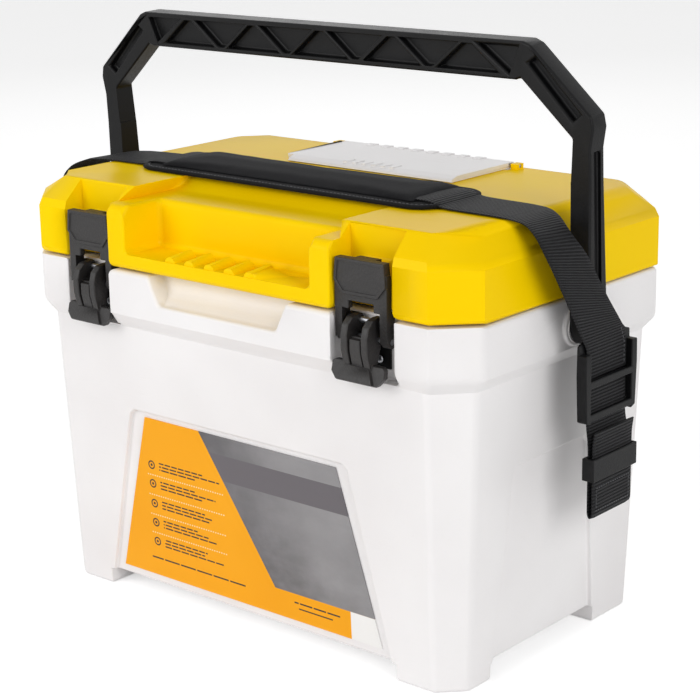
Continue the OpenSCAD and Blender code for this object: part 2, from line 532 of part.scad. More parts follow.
// free end, folded up at the bottom and held by the keeper
module strap_tail() color("#1d1d1f") place() {
  ribbon([[[web_x, -20.9, 209.8], [web_x, 25.3, 209.8]], [[web_x, -20.9, 180], [web_x, 25.3, 180]], [[web_x, -17, 163], [web_x, 29.2, 163]]]);
  belt([[web_x, 163], [web_x, 114.4], [web_x + 1.8, 112.9], [web_x + 3.6, 116], [web_x + 3.6, 168], [web_x + 5, 174]], -17.9, 30.1);
}
module strap_keeper() color("#141416") place() translate([web_x + 1.8, 6.1, 0]) difference() {
  box(-4.8, 4.8, -27, 27, 140, 156);
  box(-3.2, 3.2, -24.6, 24.6, 100, 200);
}
// ---- aerator ----
module aerator_door() color("#efeded") place() difference() {
  union() {
    box(-door_w / 2, door_w / 2, door_y0 + 8, door_y1, top_z + 0.3, top_z + 4.3);
    along_x([[door_y0, top_z + 0.3], [door_y0 + 8, top_z + 0.3], [door_y0 + 8, top_z + 4.3], [door_y0 + 2, top_z + 2.6]], -door_w / 2 + 6, door_w / 2);
    for (i = [0:5]) box(-24 + i * 9, -20 + i * 9, door_y0 + 5, door_y0 + 16, top_z + 2, top_z + 5);
    for (i = [0:7]) box(-57 + i * 15, -49 + i * 15, door_y1 - 7, door_y1 + 1, top_z + 0.5, top_z + 5);
    box(-70, 70, 37, 94, top_z - 2, top_z + 0.4);
  }
  for (s = [-1, 1]) translate([s * 72, door_axis[1], door_axis[2]]) rotate([0, s * 90, 0]) cylinder(r = 1.5 + run, h = 20);
}
module door_pins() color("#b9bcc0") place() for (s = [-1, 1]) translate([s * 73, door_axis[1], door_axis[2]]) rotate([0, s * 90, 0]) cylinder(r = 1.5, h = 16.5);
module aerator_case() color("#2a2b2e") place() difference() {
  box(-73.5, 12, 34, 98, case_z + 0.1, case_z + 34);
  box(-71, 9.5, 36.5, 95.5, case_z + 2.5, case_z + 31.5);
  translate([nozzle[0], nozzle[1], 0]) cylinder(r = 2.2 + run, h = 300);
  box(-22, -12, 58, 74, case_z + 25, case_z + 40);
  translate([0, 66, case_z + 8]) rotate([0, 90, 0]) cylinder(r = 2.5, h = 20);
}
module aerator_motor() color("#9b9ea3") place() {
  translate([-40, 80, case_z + 14]) rotate([0, 90, 0]) cylinder(r = 10.5, h = 27);
  translate([-52, 80, case_z + 14]) rotate([0, 90, 0]) cylinder(r = 1, h = 12.1);
}
module motor_coupler() color("#e6e3da") place() translate([-52, 80, case_z + 14]) rotate([0, 90, 0]) difference() {
  union() { cylinder(r = 6, h = 3); translate([3.5, 0, -5]) cylinder(r = 1.4, h = 5.1); }
  translate([0, 0, -1]) cylinder(r = 1 + run, h = 8);
}
module aerator_diaphragm() color("#3a3a3d") place() translate([nozzle[0], 56, case_z + 14]) difference() {
  union() {
    box(-17, 11, -15, 11, -8, 8);
    translate([-5, 11, 0]) rotate([-90, 0, 0]) cylinder(r = 7, h = 2.5);
  }
  translate([0, nozzle[1] - 56, -20]) cylinder(r = 2.2 + run, h = 16);
}
module batteries() color("#c9a23a") place() for (y = [50, 82]) translate([20.5, y, case_z + 16]) rotate([0, 90, 0]) {
  cylinder(r = 13, h = 50);
  translate([0, 0, 49.9]) cylinder(r = 4.5, h = 1.7);
}
module battery_contacts() color("#c8c8c4") place() {
  box(72.6, 73.8, 38, 94, case_z + 5, case_z + 27);
  for (y = [50, 82]) {
    box(12.3, 13.1, y - 9, y + 9, case_z + 6, case_z + 26);
    translate([13, y, case_z + 16]) rotate([0, 90, 0]) cylinder(r = 5, h = 7.2);
  }
}
module aerator_switch() color("#c23b2e") place() union() {
  box(-23, -9, 55.5, 76.5, case_z + 29.2, case_z + 31.2);
  box(-21.5, -16.5, 58.5, 73.5, case_z + 31, case_z + 34.5);
  box(-20.5, -17.5, 63.5, 68.5, case_z + 34, case_z + 38);
}
module hose_nozzle() color("#2a2b2e") place() translate([nozzle[0], nozzle[1], 0]) difference() {
  union() {
    translate([0, 0, 240]) cylinder(r = 2.2, h = case_z + 8 - 240);
    for (z = [241, 244.5]) translate([0, 0, z]) cylinder(r1 = 2.3, r2 = 3, h = 2.5);
    translate([0, 0, case_z - 3.9]) cylinder(r = 3, h = 3.7);
  }
  translate([0, 0, 230]) cylinder(d = nozzle_bore, h = 80);
}

body_shell();
tank_liner();
body_foam();
front_label();
hinge_post();
hinge_leaf();
hinge_pin();
post_screws();
leaf_screws();
lid_shell();
lid_panel();
lid_foam();
lid_gasket();
latch_brackets();
bracket_screws();
latch_pivot_pins();
latch_lever_left();
latch_lever_right();
latch_link_pin_left();
latch_link_pin_right();
latch_link_left();
latch_link_right();
handle();
handle_bolts();
handle_washers();
strap_pad();
strap_webbing();
strap_leg_left();
strap_leg_right();
strap_buckle();
strap_hanger_left();
strap_tail();
strap_keeper();
aerator_door();
door_pins();
aerator_case();
aerator_motor();
motor_coupler();
aerator_diaphragm();
batteries();
battery_contacts();
aerator_switch();
hose_nozzle();
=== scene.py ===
from math import cos, hypot, pi, radians, sin, tau

import bmesh
import bpy
from mathutils import Matrix, Vector
from mathutils.bvhtree import BVHTree
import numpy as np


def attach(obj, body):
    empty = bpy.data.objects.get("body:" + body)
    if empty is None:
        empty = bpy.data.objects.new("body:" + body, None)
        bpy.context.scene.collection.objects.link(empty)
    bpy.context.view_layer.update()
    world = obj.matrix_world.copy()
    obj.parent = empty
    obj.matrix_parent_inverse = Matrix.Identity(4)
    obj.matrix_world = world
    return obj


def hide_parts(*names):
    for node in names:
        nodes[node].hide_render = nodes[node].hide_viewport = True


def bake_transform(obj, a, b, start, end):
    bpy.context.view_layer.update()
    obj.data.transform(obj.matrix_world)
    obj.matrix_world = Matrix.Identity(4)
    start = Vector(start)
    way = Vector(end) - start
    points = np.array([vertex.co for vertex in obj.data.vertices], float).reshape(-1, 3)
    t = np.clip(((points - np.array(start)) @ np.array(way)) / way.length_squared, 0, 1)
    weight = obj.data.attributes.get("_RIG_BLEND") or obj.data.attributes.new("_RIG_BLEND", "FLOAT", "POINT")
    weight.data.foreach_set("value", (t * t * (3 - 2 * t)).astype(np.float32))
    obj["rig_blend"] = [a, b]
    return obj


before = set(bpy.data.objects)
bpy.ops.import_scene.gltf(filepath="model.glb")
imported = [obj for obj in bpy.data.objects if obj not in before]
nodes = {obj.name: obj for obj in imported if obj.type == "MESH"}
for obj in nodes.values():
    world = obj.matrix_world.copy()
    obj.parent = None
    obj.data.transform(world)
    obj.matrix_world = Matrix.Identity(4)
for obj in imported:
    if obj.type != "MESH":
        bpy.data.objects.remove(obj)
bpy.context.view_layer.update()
origin = Vector((-2.85, 4.5, 0))  # the cooler's own middle, in mm, moved to the frame's origin


def at(x, y, z):
    # a point in the cooler's millimetres as a point of the frame
    return (Vector((x, y, z)) + origin) / 1000


# fitted to the photograph; the place is in the cooler's millimetres
cameraView = {
    "place": (923.136, -1069.930, 586.473),
    "right": (0.76303, 0.64615, -0.01691),
    "up": (-0.16294, 0.21760, 0.96234),
    "back": (0.62549, -0.73154, 0.27132),
    "lens": 100.39,
    "sensor": 36,
    "nearest": 0.01,
}


def makeCamera(view):
    data = bpy.data.cameras.new("photoCamera")
    data.lens = view["lens"]
    data.sensor_width = view["sensor"]
    data.clip_start = view["nearest"]
    camera = bpy.data.objects.new("photoCamera", data)
    bpy.context.scene.collection.objects.link(camera)
    turn = Matrix((view["right"], view["up"], view["back"])).transposed().to_4x4()
    camera.matrix_world = Matrix.Translation(at(*view["place"])) @ turn
    bpy.context.scene.camera = camera


makeCamera(cameraView)
print("camera placed")


class Wire:
    # one socket with arithmetic: each operation adds a Math node
    def __init__(self, graph, socket):
        self.graph = graph
        self.socket = socket

    def combine(self, operation, other=None, flip=False):
        values = {0: self} if other is None else {0: other, 1: self} if flip else {0: self, 1: other}
        return self.graph.add("ShaderNodeMath", {"operation": operation}, values)

    def __add__(self, other):
        return self.combine("ADD", other)

    __radd__ = __add__

    def __sub__(self, other):
        return self.combine("SUBTRACT", other)

    def __rsub__(self, other):
        return self.combine("SUBTRACT", other, True)

    def __mul__(self, other):
        return self.combine("MULTIPLY", other)

    __rmul__ = __mul__

    def __truediv__(self, other):
        return self.combine("DIVIDE", other)

    def __rtruediv__(self, other):
        return self.combine("DIVIDE", other, True)

    def __mod__(self, other):
        return self.combine("FLOORED_MODULO", other)

    def __pow__(self, other):
        return self.combine("POWER", other)

    def __abs__(self):
        return self.combine("ABSOLUTE")

    def wave(self, pitch):
        return (self * (tau / pitch)).combine("SINE") * 0.5 + 0.5

    def past(self, edge, blur):
        # 0 below the edge, 1 above it, and a short ramp between
        values = {0: self, 1: 1 / blur, 2: 0.5 - edge / blur}
        return self.graph.add("ShaderNodeMath", {"operation": "MULTIPLY_ADD", "use_clamp": True}, values)

    def most(self, other):
        return self.combine("MAXIMUM", other)

    def output(self, name):
        # another output of the same node
        return Wire(self.graph, self.socket.node.outputs[name])


class Graph:
    # a node tree, of a material or of geometry
    def __init__(self, tree):
        self.tree = tree

    def add(self, kind, settings=None, sockets=None, output=0):
        node = self.tree.nodes.new(kind)
        for name, value in (settings or {}).items():
            setattr(node, name, value)
        for key, value in (sockets or {}).items():
            self.plug(node.inputs[key], value)
        return Wire(self, node.outputs[output])

    def plug(self, socket, value):
        if isinstance(value, Wire):
            self.tree.links.new(value.socket, socket)
        else:
            socket.default_value = value

    def place(self):
        return self.add("ShaderNodeTexCoord", output="Object")

    def split(self, vector):
        x = self.add("ShaderNodeSeparateXYZ", {}, {0: vector})
        return x, x.output("Y"), x.output("Z")

    def join(self, x, y, z):
        return self.add("ShaderNodeCombineXYZ", {}, {0: x, 1: y, 2: z})

    def stretch(self, vector, scale):
        return self.add("ShaderNodeVectorMath", {"operation": "MULTIPLY"}, {0: vector, 1: scale})

    def noise(self, vector, scale, detail=3.0, rough=0.5):
        sockets = {"Vector": vector, "Scale": scale, "Detail": detail, "Roughness": rough}
        return self.add("ShaderNodeTexNoise", {}, sockets)

    def cells(self, vector, scale, feature="F1"):
        return self.add("ShaderNodeTexVoronoi", {"feature": feature}, {"Vector": vector, "Scale": scale})

    def mix(self, factor, first, second):
        return self.add("ShaderNodeMix", {"data_type": "RGBA"}, {0: factor, 6: first, 7: second}, 2)

    def bump(self, height, distance):
        return self.add("ShaderNodeBump", {}, {"Height": height, "Distance": distance, "Strength": 1.0})

    def moved(self, shape, sockets):
        return self.add("GeometryNodeTransform", {}, {"Geometry": shape, **sockets})


def ink(code):
    # a colour written as on screen, as the linear one that Blender works in
    parts = [int(code[i:i + 2], 16) / 255 for i in (1, 3, 5)]
    return tuple(p / 12.92 if p <= 0.04045 else ((p + 0.055) / 1.055) ** 2.4 for p in parts) + (1.0,)


def newFinish(name, **fixed):
    material = bpy.data.materials.new(name)
    material.use_nodes = True
    graph = Graph(material.node_tree)
    shader = material.node_tree.nodes["Principled BSDF"]
    for key, value in fixed.items():
        shader.inputs[key.replace("_", " ")].default_value = value
    graph.shader = shader.inputs
    return material, graph


mouldedPlastic = {
    "shellWhite": {
        "gloss": 0.35, "rough": 0.34, "peel": 0.00006, "colour": "#F3F1F1", "shade": "#E9E6E6", "dust": "#D8D2CC",
    },
    "lidYellow": {
        "gloss": 0.05, "rough": 0.30, "peel": 0.00006, "colour": "#FFD802", "shade": "#FCCE00", "dust": "#EDBE20",
    },
    "linerWhite": {
        "gloss": 0.35, "rough": 0.42, "peel": 0.00004, "colour": "#F4F3F0", "shade": "#EAE8E4", "dust": "#DDD9D2",
    },
    "naturalNylon": {
        "gloss": 0.4, "rough": 0.5, "peel": 0.00003, "colour": "#E9E5DA", "shade": "#DDD8CB", "dust": "#C9C2B2",
    },
    "switchRed": {
        "gloss": 0.4, "rough": 0.4, "peel": 0.00003, "colour": "#C23B2E", "shade": "#AE3126", "dust": "#8F2A20",
    },
}
# how many marks of each kind come to a metre, shared by all moulded plastic
mouldedMarks = {
    "drift": 9.0, "specks": 260.0, "scuffs": (40.0, 260.0, 900.0), "patches": 14.0, "peel": 520.0, "swell": 60.0,
}


def makeMoulded(name, look, marks):
    # slow colour drift, a fine orange peel, and small rubbed specks that take the gloss down
    material, g = newFinish(name, IOR=1.48, Specular_IOR_Level=look["gloss"])
    place = g.place()
    drift = g.noise(place, marks["drift"], 2.0)
    specks = g.noise(place, marks["specks"], 4.0, 0.7).past(0.68, 0.12)
    patches = g.noise(place, marks["patches"], 1.0).past(0.55, 0.1)
    scuffs = g.noise(g.stretch(place, marks["scuffs"]), 1.0, 3.0, 0.6).past(0.66, 0.1) * patches
    colour = g.mix(drift.past(0.5, 0.5), ink(look["shade"]), ink(look["colour"]))
    colour = g.mix(specks * 0.10 + scuffs * 0.08, colour, ink(look["dust"]))
    g.plug(g.shader["Base Color"], colour)
    g.plug(g.shader["Roughness"], look["rough"] + drift * 0.08 + scuffs * 0.12)
    peel = g.noise(place, marks["peel"], 2.0) + g.noise(place, marks["swell"], 2.0) * 1.5
    g.plug(g.shader["Normal"], g.bump(peel, look["peel"]))
    return material


blackPlastic = {
    "grainedBlack": {
        "gloss": 0.16, "rough": 0.32, "grain": 0.00005, "size": 900.0, "colour": "#09090A", "wornAndSheen": "#222224",
    },
    # the latches' pale patch colour is painted sheen, lighter than wear alone would make it
    "latchBlack": {
        "gloss": 0.42, "rough": 0.42, "grain": 0.00014, "size": 620.0, "colour": "#181616", "wornAndSheen": "#4A4644",
    },
    "caseBlack": {
        "gloss": 0.3, "rough": 0.5, "grain": 0.00005, "size": 1400.0, "colour": "#26272A", "wornAndSheen": "#3E3F43",
    },
    "gasketRubber": {
        "gloss": 0.3, "rough": 0.7, "grain": 0.00003, "size": 1100.0, "colour": "#454547", "wornAndSheen": "#5A5A5D",
    },
    "pumpRubber": {
        "gloss": 0.3, "rough": 0.65, "grain": 0.00003, "size": 1100.0, "colour": "#38383A", "wornAndSheen": "#4B4B4E",
    },
}


def makeBlack(name, look):
    # spark-eroded grain in two sizes, with paler patches: rubbed wear, and on the latches painted sheen that stands in
    # for the lamp's reflection
    material, g = newFinish(name, IOR=1.5, Specular_IOR_Level=look["gloss"])
    place = g.place()
    grain = g.cells(place, look["size"])
    fine = g.noise(place, look["size"] * 2.2, 2.0)
    wornAndSheen = g.noise(place, 24.0, 5.0, 0.65).past(0.62, 0.2)
    g.plug(g.shader["Base Color"], g.mix(wornAndSheen * 0.25 + fine * 0.12, ink(look["colour"]), ink(look["wornAndSheen"])))
    g.plug(g.shader["Roughness"], look["rough"] + wornAndSheen * 0.06 + grain * 0.16)
    g.plug(g.shader["Normal"], g.bump(grain + fine * 0.5, look["grain"]))
    return material


steelLook = {
    "zincSteel": {"colour": "#C3C5C9", "dull": "#9FA1A6", "rough": 0.3},
    "boltSteel": {"colour": "#8F9296", "dull": "#6B6D71", "rough": 0.36},
    "motorSteel": {"colour": "#A6A9AE", "dull": "#84868B", "rough": 0.28},
}


def makeSteel(name, look):
    # plated steel: crystalline spangle and fine turned marks
    material, g = newFinish(name, Metallic=1.0)
    place = g.place()
    spangle = g.cells(place, 420.0)
    marks = g.noise(g.stretch(place, (2400.0, 300.0, 300.0)), 1.0, 2.0)
    g.plug(g.shader["Base Color"], g.mix(spangle * 0.5 + marks * 0.4, ink(look["colour"]), ink(look["dull"])))
    g.plug(g.shader["Roughness"], look["rough"] + marks * 0.18)
    g.plug(g.shader["Normal"], g.bump(marks, 0.00002))
    return material


foamLook = {"colour": "#E9DFB6", "poreShade": "#CDBE86", "cell": 700.0, "depth": 0.0004}


def makeFoam(name, look):
    material, g = newFinish(name, Roughness=0.9)
    cells = g.cells(g.place(), look["cell"], "DISTANCE_TO_EDGE")
    # the low grooves between cells get a darker colour: painted shade
    g.plug(g.shader["Base Color"], g.mix(cells.past(0.12, 0.2), ink(look["poreShade"]), ink(look["colour"])))
    g.plug(g.shader["Normal"], g.bump(cells, look["depth"]))
    return material


batteryLook = {"sleeve": "#C9A23A", "dark": "#2B2B2E", "ring": 0.0455, "blur": 0.0004}


def makeBattery(name, look):
    # plain two-colour sleeve, split part of the way along the cell
    material, g = newFinish(name, Metallic=0.4, Coat_Weight=0.4)
    place = g.place()
    split = g.split(place)[0].past(look["ring"], look["blur"])
    g.plug(g.shader["Base Color"], g.mix(split, ink(look["dark"]), ink(look["sleeve"])))
    g.plug(g.shader["Roughness"], 0.26 + g.noise(place, 300.0) * 0.14)
    return material


# sizes in metres
webbingLook = {
    # the pale colour is painted highlight on the rib crests and selvages, flecked by fibre
    "dark": "#020203", "sheenAndFibre": "#4A4A4E", "pitch": 0.0024, "yarn": 0.0012, "height": 0.0009,
    "edge": 0.0022, "width": 0.048, "wander": 0.0003, "lean": 0.00012,
}


def makeWebbing(name, look):
    # ribbed weave on the piece's own map, which is in metres: u across, v along
    material, g = newFinish(name, Roughness=0.6, Specular_IOR_Level=0.12, Sheen_Weight=0.04, Sheen_Roughness=0.4)
    u, v, _ = g.split(g.add("ShaderNodeTexCoord", output="UV"))
    wander = g.noise(g.place(), 60.0, 2.0) * look["wander"]
    lean = (u * (tau / look["yarn"])).combine("SINE") * look["lean"]
    rib = (v + wander + lean).wave(look["pitch"])
    yarn = (u + v * 0.5).wave(look["yarn"])
    selvage = abs(u - look["width"] / 2).past(look["width"] / 2 - look["edge"], 0.0008)
    height = rib * (0.75 + yarn * 0.25) * (1 - selvage * 0.6) + selvage * 0.35
    fibre = g.noise(g.place(), 2600.0, 2.0)
    # painted highlight and shade: the higher the rib, the paler its colour
    shade = height ** 3 * (0.3 + fibre * 0.6)
    g.plug(g.shader["Base Color"], g.mix(shade, ink(look["dark"]), ink(look["sheenAndFibre"])))
    g.plug(g.shader["Normal"], g.bump(height + fibre * 0.2, look["height"]))
    return material


padLook = {"dark": "#030304", "sheenAndFibre": "#222225", "thread": 0.0011, "height": 0.00022}


def makePadCloth(name, look):
    # plain weave seen from above, crossed threads over and under
    material, g = newFinish(name, Roughness=0.8, Specular_IOR_Level=0.1, Sheen_Weight=0.03, Sheen_Roughness=0.5)
    place = g.place()
    x, y, z = g.split(place)
    warp, weft = x.wave(look["thread"]), (y + z * 0.9).wave(look["thread"])
    over = (warp - weft) * 0.5 + 0.5
    fuzz = g.noise(place, 1900.0, 3.0, 0.6)
    wornAndSheen = g.noise(place, 30.0, 3.0)
    # painted highlight and shade on the raised and lower thread crossings, with random fuzz and wear tone added
    shade = over * 0.35 + fuzz * 0.3 + wornAndSheen * 0.15
    g.plug(g.shader["Base Color"], g.mix(shade, ink(look["dark"]), ink(look["sheenAndFibre"])))
    g.plug(g.shader["Normal"], g.bump(over * 0.7 + fuzz * 0.6, look["height"]))
    return material


threadLook = {"colour": "#232326", "shine": "#4A4A4F", "twist": 0.0007}


def makeThread(name, look):
    material, g = newFinish(name, Roughness=0.45, Sheen_Weight=0.2)
    x, y, z = g.split(g.place())
    twist = (x + y + z).wave(look["twist"])
    g.plug(g.shader["Base Color"], g.mix(twist, ink(look["colour"]), ink(look["shine"])))
    return material


# colours, then sizes in millimetres across (x) and up (z) the front face; boxes are x0, x1, z0, z1
labelLook = {
    "orange": "#FDB01A", "deep": "#F2A00E", "band": "#6B676B", "paper": "#F2F1EF", "mark": "#3A3432",
    "dots": "#FCE3AE", "night": "#2C2B2D", "mid": "#6F6D70", "pale": "#B9B7B8",
    "slant": (-0.6389, 30, 41),  # the field's left edge: its slope, and a point on it
    "bandFoot": 113, "bandTop": 133, "panel": (101, 133, 19, 41), "soft": 0.25,
    "rows": (110, 95, 79, 63.5, 48), "rowStart": -82, "linePitch": 2.6, "lineHalf": 0.55,
    "ringMiddle": -90, "ring": 2.9, "ringHalf": 0.55, "ringDot": 1.1,
    "footBars": (((-97, 1, 33.6, 34.8), 17, 1.4), ((48, 92, 33.6, 34.8), 13, 1.2)), "footLine": (52, 84, 29.4, 30.4),
    "dividers": (102, 86, 70, 55), "dividerStart": -95, "dividerEnd": -16, "dividerHalf": 0.45, "dotPitch": 2.4,
}


def makeLabel(name, look):
    # printed film with a plain gradient for its picture, and bars and rings for its print
    material, g = newFinish(name, Specular_IOR_Level=0.15)
    place = g.place()
    across, _, up = g.split(place)
    x = across * 1000 - origin.x
    z = up * 1000
    soft = look["soft"]

    def inside(x0, x1, z0, z1):
        return x.past(x0, soft) * (1 - x.past(x1, soft)) * z.past(z0, soft) * (1 - z.past(z1, soft))

    slope, x0, z0 = look["slant"]
    beyond = (x - z * slope).past(x0 - z0 * slope, soft)
    colour = g.mix(g.noise(place, 12.0, 2.0), ink(look["orange"]), ink(look["deep"]))
    blur = g.noise(g.stretch(place, (26.0, 26.0, 40.0)), 1.0, 4.0, 0.6)
    field = g.mix(blur.past(0.5, 0.35), ink(look["night"]), ink(look["mid"]))
    field = g.mix(z.past(70, 50.0) * 0.5, field, ink(look["mid"]))
    field = g.mix((x + z * 0.4).past(60, 90.0) * 0.45, field, ink(look["pale"]))
    colour = g.mix(beyond * z.past(z0, soft), colour, field)
    band = z.past(look["bandFoot"], soft) * (1 - z.past(look["bandTop"], soft))
    colour = g.mix(beyond * band, colour, ink(look["band"]))
    colour = g.mix(inside(*look["panel"]), colour, ink(look["paper"]))
    # marks and bars that stand for rows of small print
    bars = inside(*look["footLine"])
    for box, pitch, gap in look["footBars"]:
        bars = bars.most(inside(*box) * (x % pitch).past(gap, soft))
    half = look["lineHalf"]
    for i, row in enumerate(look["rows"]):
        ring = ((x - look["ringMiddle"]) ** 2 + (z - row) ** 2) ** 0.5
        bars = bars.most(1 - abs(ring - look["ring"]).past(look["ringHalf"], soft))
        bars = bars.most(1 - ring.past(look["ringDot"], soft))
        for k, end in enumerate((-37 - 9 * (i % 2), -20 - 5 * i, -44 + 6 * i)):
            level = row + look["linePitch"] * (1 - k)
            words = ((x + 3 * i) % (7 + k)).past(1.0, soft)
            bars = bars.most(inside(look["rowStart"], end, level - half, level + half) * words)
    colour = g.mix(bars, colour, ink(look["mark"]))
    dots = x * 0
    half = look["dividerHalf"]
    for level in look["dividers"]:
        dots = dots.most(inside(look["dividerStart"], look["dividerEnd"], level - half, level + half))
    dots = dots * (x % look["dotPitch"]).past(look["dotPitch"] / 2, soft)
    colour = g.mix(dots, colour, ink(look["dots"]))
    g.plug(g.shader["Base Color"], colour)
    g.plug(g.shader["Roughness"], 0.38 + g.noise(place, 220.0) * 0.1)
    g.plug(g.shader["Normal"], g.bump(g.noise(place, 40.0, 2.0), 0.0001))
    return material


finishes = {name: makeMoulded(name, look, mouldedMarks) for name, look in mouldedPlastic.items()}
finishes.update({name: makeBlack(name, look) for name, look in blackPlastic.items()})
finishes.update({name: makeSteel(name, look) for name, look in steelLook.items()})
finishes["cellFoam"] = makeFoam("cellFoam", foamLook)
finishes["batterySleeve"] = makeBattery("batterySleeve", batteryLook)
finishes["ribbedWebbing"] = makeWebbing("ribbedWebbing", webbingLook)
finishes["padCloth"] = makePadCloth("padCloth", padLook)
finishes["sewingThread"] = makeThread("sewingThread", threadLook)
finishes["labelFilm"] = makeLabel("labelFilm", labelLook)
print("finishes made:", len(finishes))


def paint(piece, finish):
    piece.data.materials.clear()
    piece.data.materials.append(finishes[finish])


def newPiece(name, mesh, finish):
    piece = bpy.data.objects.new(name, mesh)
    bpy.context.scene.collection.objects.link(piece)
    paint(piece, finish)
    mesh.shade_smooth()
    return piece


# CAD nodes that keep their own mesh
plainNodes = {
    "linerWhite": ["tank_liner", "lid_panel"],
    "cellFoam": ["body_foam", "lid_foam"],
    "labelFilm": ["front_label"],
    "zincSteel": [
        "hinge_pin", "latch_pivot_pins", "latch_link_pin_left", "latch_link_pin_right", "door_pins", "battery_contacts",
    ],
    "gasketRubber": ["lid_gasket"],
    "shellWhite": ["handle_washers"],
    "caseBlack": ["aerator_case", "hose_nozzle"],
    "motorSteel": ["aerator_motor"],
    "naturalNylon": ["motor_coupler"],
    "pumpRubber": ["aerator_diaphragm"],
    "batterySleeve": ["batteries"],
    "switchRed": ["aerator_switch"],
}
for finish, names in plainNodes.items():
    for name in names:
        for holder in nodes[name].material_slots:
            holder.material = finishes[finish]
print("plain nodes painted")


# moulded pieces are copies of their nodes with rounded edges; lengths here are in metres, angles in degrees
rounding = {
    "weld": 2e-6, "sliver": 1e-6, "level": 0.15,
    "angle": 24, "crease": 35, "segments": 3,
    "longEdge": 0.045, "bluntEdge": 60,  # edges that may take the wide rounding
    "room": 0.42, "straightOn": -0.88,
}


def edgeWidth(edge, most):
    # how wide the rounding of an edge may be before it runs into its neighbours
    width = most
    for vert in edge.verts:
        along = (edge.other_vert(vert).co - vert.co).normalized()
        for near in vert.link_edges:
            if near is edge:
                continue
            away = (near.other_vert(vert).co - vert.co).normalized()
            turn = along.dot(away)
            runsOn = turn < rounding["straightOn"] and near.calc_face_angle(0) > radians(rounding["angle"])
            if not runsOn:
                width = min(width, rounding["room"] * near.calc_length() * (1 - turn ** 2) ** 0.5)
    return width


def strayPoints(piece, surface, reach):
    # corners of faces that the rounding threw off the moulding's own surface
    ready = piece.evaluated_get(bpy.context.evaluated_depsgraph_get())
    mesh = ready.to_mesh()
    mesh.calc_loop_triangles()
    spots = [v.co.copy() for v in mesh.vertices]
    stray = {i for i, spot in enumerate(spots) if surface.find_nearest(spot)[3] > reach}
    for triangle in mesh.loop_triangles:
        a, b, c = (spots[i] for i in triangle.vertices)
        for spot in ((a + b + c) / 3, (a + b) / 2, (b + c) / 2, (c + a) / 2):
            if surface.find_nearest(spot)[3] > reach:
                stray.update(triangle.vertices)
                break
    ready.to_mesh_clear()
    return [spots[i] for i in stray]


# off, reach and grow are shares of the rounding; shrink is what one round leaves of it
easing = {"rounds": 7, "gentleRounds": 4, "off": 0.55, "reach": 0.8, "grow": 0.25, "shrink": 0.45}


def easeEdges(piece, surface, most):
    # narrows the rounding round stray points until every face lies on the moulding
    mesh = piece.data
    weight = mesh.attributes["bevel_weight_edge"].data
    for attempt in range(easing["rounds"]):
        left = strayPoints(piece, surface, most * easing["off"])
        if not left:
            break
        reach = most * (easing["reach"] + easing["grow"] * attempt)
        shrink = easing["shrink"] if attempt < easing["gentleRounds"] else 0
        for edge in mesh.edges:
            if weight[edge.index].value <= 0:
                continue
            a, b = (mesh.vertices[i].co for i in edge.vertices)
            way = b - a
            squared = max(way.length_squared, 1e-12)
            for spot in left:
                t = min(max((spot - a).dot(way) / squared, 0), 1)
                if (a + way * t - spot).length < reach:
                    weight[edge.index].value *= shrink
                    break
        mesh.update()
    return len(left)


def roundedCopy(node, finish, body, slot, most, wide=0.0, bare=()):
    # wide rounds the long obtuse edges of a chamfer more than the others; edges inside the bare boxes stay sharp
    mesh = nodes[node].data.copy()
    mesh.name = node + "Rounded"
    work = bmesh.new()
    work.from_mesh(mesh)
    bmesh.ops.remove_doubles(work, verts=work.verts, dist=rounding["weld"])
    bmesh.ops.dissolve_degenerate(work, edges=work.edges, dist=rounding["sliver"])
    bmesh.ops.dissolve_limit(work, angle_limit=radians(rounding["level"]), verts=work.verts, edges=work.edges)
    layers = work.edges.layers.float
    weight = layers.get("bevel_weight_edge") or layers.new("bevel_weight_edge")
    most /= 1000
    widest = max(most, wide / 1000)
    boxes = [(at(*low), at(*high)) for low, high in bare]
    for edge in work.edges:
        middle = (edge.verts[0].co + edge.verts[1].co) / 2
        if any(all(low[i] < middle[i] < high[i] for i in range(3)) for low, high in boxes):
            continue
        angle = edge.calc_face_angle(0)
        if len(edge.link_faces) == 2 and angle > radians(rounding["angle"]):
            blunt = edge.calc_length() > rounding["longEdge"] and angle < radians(rounding["bluntEdge"])
            edge[weight] = edgeWidth(edge, widest if blunt else most) / widest
    for face in work.faces:
        face.smooth = True
    work.to_mesh(mesh)
    work.free()
    piece = newPiece(node + "Rounded", mesh, finish)
    mesh.set_sharp_from_angle(angle=radians(rounding["crease"]))
    bevel = piece.modifiers.new("edges", "BEVEL")
    bevel.limit_method = "WEIGHT"
    bevel.offset_type = "OFFSET"
    bevel.width = widest
    bevel.segments = rounding["segments"]
    bevel.use_clamp_overlap = False
    bevel.harden_normals = True
    bevel.loop_slide = False
    bevel.miter_outer = "MITER_SHARP"
    loose = nodes[node].data
    surface = BVHTree.FromPolygons([v.co for v in loose.vertices], [p.vertices for p in loose.polygons])
    left = easeEdges(piece, surface, most)
    print("rounded", node, "stray points left:", left)
    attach(piece, body)
    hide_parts(node)
    return piece


